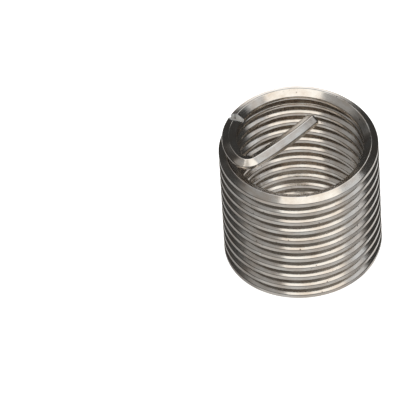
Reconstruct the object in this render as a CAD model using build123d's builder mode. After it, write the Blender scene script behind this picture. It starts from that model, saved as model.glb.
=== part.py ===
from build123d import *
from build123d.topology import SkipClean

import math
import os

# Free-running thread insert, wound from wire of rhombic section. The coil stands on its
# free end, with its axis on Z. The wire starts on the X axis, climbs as a right-hand helix
# and ends in a tang bent across the mouth of the bore. Lengths are in mm, angles in degrees.

# Thread form: the wire's inner V makes the new thread, its outer V fills the tapped hole.
thread_pitch = 1.25
flank_angle = 60.0

# Coil in its free state, before it is wound into the hole. The turns run up to the lead-in
# of the tang, and the gap lies between the wire's side corners.
coil_diameter = 14.14
coil_turns = 11.4
turn_gap = 0.08

# The tang-end coil is drawn in a little, so that it enters the hole first. Both places are
# given in turns before the end of the coil.
end_coil_inset = 0.22
inset_starts = 0.48
inset_complete = 0.29

# Tang: an easy lead-in curve, a tight bend and a nearly straight bar across the bore.
lead_in_radius = 4.4
lead_in_angle = 50.0
bend_inner_radius = 0.48
bend_angle = 95.0
tang_length = 6.7
tang_bow_radius = 50.0

# Break-off notch across the upper face of the wire, with a steep wall and a ramp that
# rises towards the tang. The wall stands this far before the end of the coil.
notch_setback = 1.58
notch_length = 0.85
notch_depth = 0.60

# Fineness of the drawing: wall arcs and curve points in each turn.
arcs_per_turn = 8
points_per_turn = 24

# Wire section, worked out from the thread form.
wire_width = 7 / 8 * thread_pitch
outer_flat = thread_pitch / 8
inner_flat = thread_pitch / 4
flank_slope = math.tan(math.radians(flank_angle / 2))
apex_depth = wire_width / 2 / flank_slope
outer_depth = (wire_width - outer_flat) / 2 / flank_slope
inner_depth = (wire_width - inner_flat) / 2 / flank_slope

# Coil radii: at the outer crest, at the wire's side corners and at the inner crest.
outer_radius = coil_diameter / 2
corner_radius = outer_radius - outer_depth
bore_radius = corner_radius - inner_depth

# Coil heights, and the whole turns below the one that is drawn in.
coil_pitch = wire_width + turn_gap
start_height = wire_width / 2
whole_turns = math.floor(coil_turns) - 1
turn_height = coil_pitch + wire_width


def corner_point(turns):
    """Point on the line of the wire's side corners, so many turns from the free end."""
    before_end = coil_turns - turns
    share = (inset_starts - before_end) / (inset_starts - inset_complete)
    share = min(max(share, 0.0), 1.0)
    radius = corner_radius - end_coil_inset * share**2 * (3 - 2 * share)
    angle = math.tau * turns
    height = start_height + coil_pitch * turns
    return Vector(radius * math.cos(angle), radius * math.sin(angle), height)


def wire_direction(turns):
    """Direction of the wire, so many turns from the free end."""
    point = corner_point(turns)
    return Vector(-math.tau * point.Y, math.tau * point.X, coil_pitch).normalized()


def section_plane(turns):
    """Plane through the coil axis: its local X runs outward and its local Y upward."""
    angle = math.tau * turns
    outward = Vector(math.cos(angle), math.sin(angle), 0)
    return Plane(corner_point(turns), x_dir=outward, z_dir=outward.cross(Vector(0, 0, 1)))


def crest_circle(radius):
    """Circle about the coil axis, drawn as separate arcs."""
    arc = 360 / arcs_per_turn
    starts = [arc * i for i in range(arcs_per_turn)]
    return Wire([Edge.make_circle(radius, start_angle=a, end_angle=a + arc) for a in starts])


def raised(path):
    """The path moved straight up: the swept section stays upright between the two."""
    return Wire([edge.moved(Location((0, 0, wire_width))) for edge in path.edges()])


# Whole faces are kept apart where turns meet, so that each crest is a row of short walls.
with SkipClean():
    # One turn of sharp rhombic wire, with its crests cut to the coil's two diameters.
    with BuildPart() as single_turn:
        with BuildLine() as turn_path:
            Helix(coil_pitch, coil_pitch, corner_radius, center=(0, 0, start_height))
        with BuildSketch(section_plane(0)) as sharp_section:
            with BuildLine():
                Polyline(
                    (apex_depth, 0),
                    (0, wire_width / 2),
                    (-apex_depth, 0),
                    (0, -wire_width / 2),
                    close=True,
                )
            make_face()
        sweep(path=turn_path.wire(), is_frenet=True, clean=False)
        crest_ring = Face(crest_circle(outer_radius), [crest_circle(bore_radius)])
        extrude(crest_ring, turn_height, (0, 0, 1), mode=Mode.INTERSECT, clean=False)

    # The drawn-in coil, as a smooth curve that goes on from the last whole turn.
    end_turns = coil_turns - whole_turns
    end_steps = math.ceil(points_per_turn * end_turns)
    end_points = [corner_point(whole_turns + end_turns * i / end_steps) for i in range(end_steps + 1)]
    with BuildLine() as end_coil_path:
        Spline(
            *end_points,
            tangents=[wire_direction(whole_turns), wire_direction(coil_turns)],
            tangent_scalars=[1, 1],
        )

    # The tang's curves lie in the plane of the coil's last slope.
    coil_end = corner_point(coil_turns)
    end_slope = wire_direction(coil_turns)
    inward = Vector(-coil_end.X, -coil_end.Y, 0)
    with BuildLine(Plane(coil_end, end_slope, end_slope.cross(inward))) as tang_path:
        lead_in = JernArc((0, 0), (1, 0), lead_in_radius, lead_in_angle)
        bend = JernArc(lead_in @ 1, lead_in % 1, inner_depth + bend_inner_radius, bend_angle)
        bow_angle = math.degrees(tang_length / tang_bow_radius)
        JernArc(bend @ 1, bend % 1, tang_bow_radius, bow_angle)
    end_path = Wire(end_coil_path.edges() + tang_path.edges())

    with BuildPart() as thread_insert:
        with Locations([(0, 0, coil_pitch * i) for i in range(whole_turns)]):
            add(single_turn.part, clean=False)
        with BuildSketch(section_plane(whole_turns)) as wire_section:
            with BuildLine():
                Polyline(
                    (outer_depth, outer_flat / 2),
                    (0, wire_width / 2),
                    (-inner_depth, inner_flat / 2),
                    (-inner_depth, -inner_flat / 2),
                    (0, -wire_width / 2),
                    (outer_depth, -outer_flat / 2),
                    close=True,
                )
            make_face()
        sweep(path=end_path, binormal=raised(end_path), clean=False)

        # Break-off notch, cut across the wire from just above its upper corner line.
        notch_turns = coil_turns - notch_setback / (math.tau * corner_radius)
        notch_point = corner_point(notch_turns)
        across = Vector(notch_point.X, notch_point.Y, 0).normalized()
        cutter_plane = Plane(notch_point, x_dir=wire_direction(notch_turns), z_dir=across)
        ridge = wire_width / 2
        with BuildSketch(cutter_plane) as notch_profile:
            with BuildLine():
                Polyline(
                    (0, ridge - notch_depth),
                    (2 * notch_length, ridge + notch_depth),
                    (0, ridge + notch_depth),
                    close=True,
                )
            make_face()
        extrude(amount=outer_depth + inner_depth, both=True, mode=Mode.SUBTRACT, clean=False)

thread_insert.part.label = "thread_insert"

os.makedirs("parts", exist_ok=True)
export_step(thread_insert.part, "parts/thread_insert.step")
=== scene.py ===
import math

import bpy
from mathutils import Euler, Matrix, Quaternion, Vector


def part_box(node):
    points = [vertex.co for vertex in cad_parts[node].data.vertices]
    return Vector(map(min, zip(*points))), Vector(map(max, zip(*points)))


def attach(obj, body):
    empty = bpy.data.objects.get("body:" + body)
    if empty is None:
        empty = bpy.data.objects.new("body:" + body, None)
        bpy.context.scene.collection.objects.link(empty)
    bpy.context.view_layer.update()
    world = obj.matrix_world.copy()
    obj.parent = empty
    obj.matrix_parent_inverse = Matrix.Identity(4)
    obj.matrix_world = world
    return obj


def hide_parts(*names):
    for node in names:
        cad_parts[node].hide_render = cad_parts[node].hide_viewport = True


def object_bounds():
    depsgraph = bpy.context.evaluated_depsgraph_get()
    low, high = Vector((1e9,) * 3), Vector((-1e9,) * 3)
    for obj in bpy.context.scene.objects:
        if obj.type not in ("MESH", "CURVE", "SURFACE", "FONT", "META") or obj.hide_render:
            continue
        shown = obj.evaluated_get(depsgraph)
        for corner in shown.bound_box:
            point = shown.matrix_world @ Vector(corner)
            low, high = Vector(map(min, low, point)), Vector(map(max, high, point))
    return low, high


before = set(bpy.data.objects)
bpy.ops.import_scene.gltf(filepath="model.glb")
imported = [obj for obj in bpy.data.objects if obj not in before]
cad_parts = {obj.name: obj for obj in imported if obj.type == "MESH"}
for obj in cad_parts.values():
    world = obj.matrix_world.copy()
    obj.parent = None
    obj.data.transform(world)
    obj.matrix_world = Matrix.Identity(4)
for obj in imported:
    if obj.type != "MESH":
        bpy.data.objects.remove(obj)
cad_low, cad_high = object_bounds()

# ---------------------------------------------------------------- sizes
# The wire is drawn in mm and turned into metres when its mesh is made. The coil's outer
# radius comes from the insert's box in model.glb, and the wire's section from the thread form.
MM = 0.001
UP = Vector((0, 0, 1))
insert_low, insert_high = (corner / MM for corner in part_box("thread_insert"))

thread_pitch = 1.25
flank_angle = 60.0
wire_width = 7 / 8 * thread_pitch
outer_flat = 0.3 * thread_pitch
inner_flat = thread_pitch / 4
flank_slope = math.tan(math.radians(flank_angle / 2))
outer_depth = (wire_width - outer_flat) / 2 / flank_slope
inner_depth = (wire_width - inner_flat) / 2 / flank_slope

outer_radius = (insert_high.x - insert_low.x) / 2
corner_radius = outer_radius - outer_depth
start_height = wire_width / 2
turn_gap = 0.08
coil_pitch = wire_width + turn_gap
coil_turns = 11.39

# The last turn is drawn in a little before the tang. Both places are given in turns before
# the end of the coil.
end_inset = 0.26
inset_starts = 0.48
inset_complete = 0.29

# The tang's arcs: an easy lead-in, a tight bend and a nearly straight bar. Each arc has a
# radius, an angle in degrees and the roll of the wire halfway along it.
bend_inner_radius = 0.42
bow_radius = 42.0
bow_length = 7.15
lead_in = (4.6, 52.0, 0.0)
bend = (inner_depth + bend_inner_radius, 96.0, 9.0)
bow = (bow_radius, math.degrees(bow_length / bow_radius), 0.0)

# Break-off notch in the upper face of the wire. Its wall stands so far along the wire before
# the coil's end, and the ramp behind it rises towards the tang.
notch_setback = 1.3
notch_length = 0.85
notch_depth = 0.70
notch_wall = coil_turns - notch_setback / (math.tau * corner_radius)

# Radii of the wire's rolled edges. Its cut ends taper over the last cut_edge, by a share of
# cut_taper for each mm.
outer_edge = 0.07
ridge_edge = 0.10
inner_edge = 0.07
cut_edge = 0.05
cut_taper = 1.6

# Fineness of the mesh. Two rings of points, wall_run turns apart, make the notch's wall, and
# no other ring comes within clear_of_wall turns before it.
steps_per_turn = 112
steps_after_wall = 40
wall_run = 0.0004
clear_of_wall = 0.002
arc_step = 0.10
edge_steps = 5

# Sides of the section longer than this get points at these shares of their length.
long_side = 0.3
side_shares = (0.06, 0.3, 0.5, 0.7, 0.94)

# Edges that turn by more than this, in degrees, stay sharp.
sharp_turn = 38


# ---------------------------------------------------------------- wire
def corner_point(turns):
    """Middle of the wire, so many turns from the free end."""
    share = (inset_starts - (coil_turns - turns)) / (inset_starts - inset_complete)
    share = min(max(share, 0.0), 1.0)
    radius = corner_radius - end_inset * share**2 * (3 - 2 * share)
    angle = math.tau * turns
    height = start_height + coil_pitch * turns
    return Vector((radius * math.cos(angle), radius * math.sin(angle), height))


def wire_direction(turns):
    """Direction of the coiled wire, so many turns from the free end."""
    point = corner_point(turns)
    return Vector((-math.tau * point.y, math.tau * point.x, coil_pitch)).normalized()


def coil_stations():
    """(middle, direction, roll) along the coil, closer together after the notch's wall."""
    count = round(coil_turns * steps_per_turn)
    places = [coil_turns * i / count for i in range(count + 1)]
    places = [turns for turns in places if turns < notch_wall - clear_of_wall]
    places += [notch_wall - wall_run, notch_wall]
    left = coil_turns - places[-1]
    places += [places[-1] + left * (i + 1) / steps_after_wall for i in range(steps_after_wall)]
    return [(corner_point(turns), wire_direction(turns), 0.0) for turns in places]


def tang_stations(middle, direction):
    """(middle, direction, roll) along the tang's arcs, which lie in the coil's last slope."""
    forward, inward = direction, UP.cross(direction).normalized()
    turned, stations = 0.0, []
    for radius, degrees, roll in (lead_in, bend, bow):
        start = math.sin(turned), math.cos(turned)
        count = math.ceil(radius * math.radians(degrees) / arc_step)
        begin, begin_turned = middle, turned
        for i in range(1, count + 1):
            turned = begin_turned + math.radians(degrees) * i / count
            along = radius * (math.sin(turned) - start[0])
            across = radius * (start[1] - math.cos(turned))
            middle = begin + along * forward + across * inward
            heading = math.cos(turned) * forward + math.sin(turned) * inward
            here = math.radians(roll) * math.sin(math.pi * i / count) ** 2
            stations.append((middle, heading, here))
    return stations


def wire_stations():
    """(middle, direction, roll, distance) from the free end to the tip of the tang."""
    stations = coil_stations()
    stations += tang_stations(*stations[-1][:2])
    placed, distance, before = [], 0.0, stations[0][0]
    for middle, direction, roll in stations:
        distance += (middle - before).length
        placed.append((middle, direction, roll, distance))
        before = middle
    return placed


def rounded(corners):
    """Closed outline of (x, y, radius) corners, each replaced by an arc."""
    outline = []
    for i, (x, y, radius) in enumerate(corners):
        here = Vector((x, y))
        to_last = (Vector(corners[i - 1][:2]) - here).normalized()
        to_next = (Vector(corners[(i + 1) % len(corners)][:2]) - here).normalized()
        half = to_last.angle(to_next) / 2
        centre = here + (to_last + to_next).normalized() * radius / math.sin(half)
        start = here + to_last * radius / math.tan(half) - centre
        sweep = math.pi - 2 * half
        for k in range(edge_steps + 1):
            angle = sweep * k / edge_steps
            c, s = math.cos(angle), math.sin(angle)
            outline.append(centre + Vector((c * start.x - s * start.y, s * start.x + c * start.y)))
    return outline


def with_support(outline):
    """The outline with points added on its long sides, close to their ends and between."""
    filled = []
    for i, point in enumerate(outline):
        filled.append(point)
        step = outline[(i + 1) % len(outline)] - point
        if step.length > long_side:
            filled += [point + step * share for share in side_shares]
    return filled


def wire_outline():
    """Section of the wire, x outward and y upward, counter-clockwise."""
    half = wire_width / 2
    corners = [
        (outer_depth, -outer_flat / 2, outer_edge),
        (outer_depth, outer_flat / 2, outer_edge),
        (0.0, half, ridge_edge),
        (-inner_depth, inner_flat / 2, inner_edge),
        (-inner_depth, -inner_flat / 2, inner_edge),
        (0.0, -half, ridge_edge),
    ]
    return with_support(rounded(corners))


def notch_top(past_wall):
    """Top of the wire above its middle, so far past the notch's wall, or higher if uncut."""
    if past_wall < 0:
        return wire_width
    return wire_width / 2 - notch_depth * (1 - past_wall / notch_length)


def wire_points(stations, outline):
    """Points of the wire's surface, ring by ring, and the numbers of those in the notch."""
    wire_length = stations[-1][-1]
    wall_point = corner_point(notch_wall)
    wall_distance = min(stations, key=lambda station: (station[0] - wall_point).length)[-1]
    points, notched = [], set()
    for middle, direction, roll, distance in stations:
        upward = Quaternion(direction, roll) @ UP
        outward = direction.cross(upward).normalized()
        to_end = min(distance, wire_length - distance)
        shrink = 1 - cut_taper * max(cut_edge - to_end, 0)
        top = notch_top(distance - wall_distance)
        for point in outline:
            if point.y * shrink > top:
                notched.add(len(points))
            height = min(point.y * shrink, top)
            points.append((middle + outward * point.x * shrink + upward * height) * MM)
    return points, notched


def wire_faces(stations, outline):
    """Faces between the rings, and their UVs: the lengths along and round the wire in mm."""
    count = len(outline)
    around = [0.0]
    for i in range(count):
        around.append(around[-1] + (outline[(i + 1) % count] - outline[i]).length)
    faces, uvs = [], []
    for row in range(len(stations) - 1):
        near, far = stations[row][-1], stations[row + 1][-1]
        for i in range(count):
            a, b = row * count + i, row * count + (i + 1) % count
            faces.append((a, b, b + count, a + count))
            low, high = around[i], around[i + 1]
            uvs += [(near, low), (near, high), (far, high), (far, low)]
    return faces, uvs


def end_faces(stations, outline):
    """The wire's two cut ends, each one face, and their UVs."""
    count = len(outline)
    last = (len(stations) - 1) * count
    faces = [tuple(range(count - 1, -1, -1)), tuple(range(last, last + count))]
    return faces, [(0.0, outline[i % count].x) for face in faces for i in face]


def add_wire():
    """The whole insert as one smooth mesh, with the second material on its cut faces."""
    stations, outline = wire_stations(), wire_outline()
    points, notched = wire_points(stations, outline)
    faces, uvs = wire_faces(stations, outline)
    cut_faces = {i for i, face in enumerate(faces) if len(notched.intersection(face)) > 1}
    ends, end_uvs = end_faces(stations, outline)
    cut_faces.update(range(len(faces), len(faces) + len(ends)))

    mesh = bpy.data.meshes.new("wire")
    mesh.from_pydata(points, [], faces + ends)
    layer = mesh.uv_layers.new(name="along_wire")
    layer.uv.foreach_set("vector", [value for uv in uvs + end_uvs for value in uv])
    mesh.shade_smooth()
    mesh.set_sharp_from_angle(angle=math.radians(sharp_turn))
    for polygon in mesh.polygons:
        polygon.material_index = int(polygon.index in cut_faces)
    wire = bpy.data.objects.new("wire_insert", mesh)
    bpy.context.collection.objects.link(wire)
    return wire


# ---------------------------------------------------------------- material
def steel(name, dark, light, least_rough, most_rough):
    """Stainless steel with fine lines along the wire, faint stains and a few dark specks."""
    material = bpy.data.materials.new(name)
    material.use_nodes = True
    nodes, links = material.node_tree.nodes, material.node_tree.links
    shader = nodes["Principled BSDF"]
    shader.inputs["Metallic"].default_value = 1.0

    place = nodes.new("ShaderNodeUVMap")
    place.uv_map = "along_wire"

    def noise(along, across, detail):
        """Noise with so many features for each mm along the wire and round it."""
        mapping = nodes.new("ShaderNodeMapping")
        mapping.inputs["Scale"].default_value = (along, across, 1)
        texture = nodes.new("ShaderNodeTexNoise")
        texture.inputs["Scale"].default_value = 1.0
        texture.inputs["Detail"].default_value = detail
        links.new(place.outputs["UV"], mapping.inputs["Vector"])
        links.new(mapping.outputs["Vector"], texture.inputs["Vector"])
        return texture.outputs["Fac"]

    def ramp(value, stops):
        """Colour between two stops, each a place and a colour."""
        node = nodes.new("ShaderNodeValToRGB")
        first, last = node.color_ramp.elements
        first.position, first.color = stops[0][0], (*stops[0][1], 1)
        last.position, last.color = stops[-1][0], (*stops[-1][1], 1)
        links.new(value, node.inputs["Fac"])
        return node.outputs["Color"]

    draw_lines = noise(0.35, 14.0, 2.0)
    stains = noise(0.7, 1.1, 3.0)
    tone = ramp(stains, [(0.32, dark), (0.66, light)])
    specks = ramp(noise(5.0, 5.0, 0.0), [(0.80, (1.0,) * 3), (0.84, (0.25, 0.22, 0.20))])
    marked = nodes.new("ShaderNodeMix")
    marked.data_type = "RGBA"
    marked.blend_type = "MULTIPLY"
    marked.inputs["Factor"].default_value = 1.0
    links.new(tone, marked.inputs["A"])
    links.new(specks, marked.inputs["B"])
    links.new(marked.outputs["Result"], shader.inputs["Base Color"])
    rough = ramp(draw_lines, [(0.3, (least_rough,) * 3), (0.7, (most_rough,) * 3)])
    links.new(rough, shader.inputs["Roughness"])

    # Slow waves, dents and draw lines, each with its depth in mm.
    waves = noise(0.22, 0.10, 1.0)
    dents = noise(1.1, 0.8, 2.0)
    normal = None
    for height, depth in ((waves, 0.09), (dents, 0.006), (draw_lines, 0.0008)):
        bump = nodes.new("ShaderNodeBump")
        bump.inputs["Strength"].default_value = 1.0
        bump.inputs["Distance"].default_value = depth * MM
        links.new(height, bump.inputs["Height"])
        if normal:
            links.new(normal, bump.inputs["Normal"])
        normal = bump.outputs["Normal"]
    links.new(normal, shader.inputs["Normal"])
    return material


# ---------------------------------------------------------------- studio
# Directions in the studio are x to the right, y away from the camera and z up.
camera_azimuth = math.radians(-20)
camera_elevation = math.radians(46.43)
camera_distance = 0.566
camera_lens = 578
aim = Vector((0, 0, 11.976 * MM))
studio = Quaternion(UP, camera_azimuth)

# Light panels round the insert, as ranges of the x, y and z of a direction, with soft
# widths, a brightness and a tint.
room_grey = 0.05
neutral = (1.0, 1.0, 1.0)
warm = (1.02, 1.00, 0.96)
cool = (0.97, 1.00, 1.04)
panels = [
    # Overhead softbox, with another behind it and weaker panels on each side.
    ((-0.27, 0.42), (-0.50, 0.00), (0.60, 1.2), (0.06, 0.10, 0.15), 1.36, warm),
    ((-0.24, 0.50), (0.12, 0.55), (0.40, 1.2), (0.06, 0.10, 0.15), 1.34, cool),
    ((-0.44, -0.31), (-0.60, 0.50), (0.55, 1.2), (0.06, 0.10, 0.15), 0.38, neutral),
    ((-0.64, -0.50), (-0.60, 0.50), (0.45, 1.2), (0.06, 0.10, 0.15), 0.33, neutral),
    ((0.48, 0.52), (-0.60, 0.50), (0.55, 1.2), (0.06, 0.10, 0.15), 0.66, cool),
    ((0.58, 0.70), (-0.60, 0.20), (0.77, 1.2), (0.06, 0.10, 0.05), 0.80, cool),
    # Cards just below the level of the insert, from the front to the right, and the left.
    ((-0.30, 0.30), (-1.2, -0.3), (-0.45, 0.00), (0.06, 0.10, 0.10), 0.20, neutral),
    ((0.36, 0.72), (-1.2, 0.0), (-0.45, 0.00), (0.06, 0.10, 0.10), 0.34, neutral),
    ((0.78, 0.92), (-1.2, 0.0), (-0.45, 0.05), (0.04, 0.10, 0.10), 0.42, neutral),
    ((-0.95, -0.36), (-1.2, 0.0), (-0.45, 0.05), (0.06, 0.10, 0.10), 0.12, neutral),
    # White backdrop.
    ((-1.2, 1.2), (0.65, 1.2), (-0.60, -0.16), (0.10, 0.10, 0.14), 1.30, neutral),
    # Floor, brighter in front.
    ((-1.2, 1.2), (-1.2, -0.30), (-1.2, -0.60), (0.10, 0.10, 0.15), 0.60, neutral),
    ((-1.2, 1.2), (-0.20, 1.2), (-1.2, -0.60), (0.10, 0.10, 0.15), 0.36, neutral),
    ((0.30, 1.2), (0.20, 1.2), (-1.2, -0.60), (0.10, 0.10, 0.15), 0.40, neutral),
    ((-0.50, 0.50), (-0.50, 0.50), (-1.2, -0.90), (0.10, 0.10, 0.06), 0.60, neutral),
]


def add_floor():
    """White table top, bright enough to lose its shadows."""
    bpy.ops.mesh.primitive_circle_add(vertices=64, radius=3, fill_type="NGON")
    floor = bpy.context.object
    floor.name = "floor"
    floor.location.z = cad_low.z
    material = bpy.data.materials.new("white_table")
    material.use_nodes = True
    shader = material.node_tree.nodes["Principled BSDF"]
    shader.inputs["Base Color"].default_value = (0.85, 0.85, 0.85, 1)
    shader.inputs["Roughness"].default_value = 0.9
    shader.inputs["Specular IOR Level"].default_value = 0.0
    shader.inputs["Emission Color"].default_value = (1, 1, 1, 1)
    shader.inputs["Emission Strength"].default_value = 1.0
    floor.data.materials.append(material)
    floor.visible_glossy = False
    return floor


def set_world():
    """Dim grey studio with a pale floor, a bright backdrop and softly edged light panels."""
    world = bpy.data.worlds.new("studio")
    bpy.context.scene.world = world
    world.use_nodes = True
    nodes, links = world.node_tree.nodes, world.node_tree.links
    place = nodes.new("ShaderNodeTexCoord")
    turn = nodes.new("ShaderNodeMapping")
    turn.inputs["Rotation"].default_value = (0, 0, -camera_azimuth)
    split = nodes.new("ShaderNodeSeparateXYZ")
    links.new(place.outputs["Generated"], turn.inputs["Vector"])
    links.new(turn.outputs["Vector"], split.inputs["Vector"])

    def math_node(operation, first, second):
        node = nodes.new("ShaderNodeMath")
        node.operation = operation
        for socket, value in zip(node.inputs, (first, second)):
            if isinstance(value, float):
                socket.default_value = value
            else:
                links.new(value, socket)
        return node.outputs["Value"]

    def within(axis, low, high, soft):
        """One between low and high on the axis, fading to nothing over the soft width."""
        off = math_node("SUBTRACT", split.outputs[axis], (low + high) / 2)
        fade = nodes.new("ShaderNodeMapRange")
        fade.interpolation_type = "SMOOTHSTEP"
        links.new(math_node("ABSOLUTE", off, 0.0), fade.inputs["Value"])
        half = (high - low) / 2
        fade.inputs["From Min"].default_value = half
        fade.inputs["From Max"].default_value = half + soft
        fade.inputs["To Min"].default_value = 1
        fade.inputs["To Max"].default_value = 0
        return fade.outputs["Result"]

    def tinted(mask, colour, total):
        """The total so far, with the colour added where the mask is one."""
        scale = nodes.new("ShaderNodeVectorMath")
        scale.operation = "SCALE"
        scale.inputs[0].default_value = colour
        links.new(mask, scale.inputs["Scale"])
        add = nodes.new("ShaderNodeVectorMath")
        add.operation = "ADD"
        links.new(scale.outputs["Vector"], add.inputs[0])
        if total is None:
            add.inputs[1].default_value = (room_grey,) * 3
        else:
            links.new(total, add.inputs[1])
        return add.outputs["Vector"]

    total = None
    for x, y, z, soft, brightness, tint in panels:
        mask = within("X", *x, soft[0])
        mask = math_node("MULTIPLY", mask, within("Y", *y, soft[1]))
        mask = math_node("MULTIPLY", mask, within("Z", *z, soft[2]))
        total = tinted(mask, tuple(brightness * part for part in tint), total)
    links.new(total, nodes["Background"].inputs["Color"])


def add_camera():
    """Long lens from above the front, with the insert right of the picture's middle."""
    camera = bpy.data.objects.new("camera", bpy.data.cameras.new("camera"))
    bpy.context.collection.objects.link(camera)
    bpy.context.scene.camera = camera
    camera.data.sensor_width = 36
    camera.data.lens = camera_lens
    camera.data.clip_start, camera.data.clip_end = 0.01, 20
    roll, pan, tilt = math.radians(-2.77), math.radians(0.883), math.radians(-0.390)
    back = studio @ Vector((0, -math.cos(camera_elevation), math.sin(camera_elevation)))
    look = (-back).to_track_quat("-Z", "Y")
    swing = Quaternion(UP, roll) @ Euler((tilt, pan, 0)).to_quaternion()
    camera.location = aim + back * camera_distance
    camera.rotation_mode = "QUATERNION"
    camera.rotation_quaternion = look @ swing


# ---------------------------------------------------------------- scene
# The wire's first material is for its drawn surface, and the second for its cut faces: rougher cut
# steel, with its base colour raised as painted light.
wire = add_wire()
drawn_steel = steel("drawn_steel", (0.59, 0.52, 0.45), (0.70, 0.67, 0.625), 0.10, 0.17)
# Cut steel's rougher finish is real; its near-white base colour is painted light that brightens
# the notch's wall.
cut_steel_painted_light = steel("cut_steel_painted_light", (0.85, 0.84, 0.82), (0.95, 0.94, 0.92), 0.45, 0.60)
wire.data.materials.append(drawn_steel)
wire.data.materials.append(cut_steel_painted_light)
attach(wire, "root")
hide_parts("thread_insert")

add_floor()
set_world()
add_camera()
bpy.context.scene.view_settings.view_transform = "Standard"
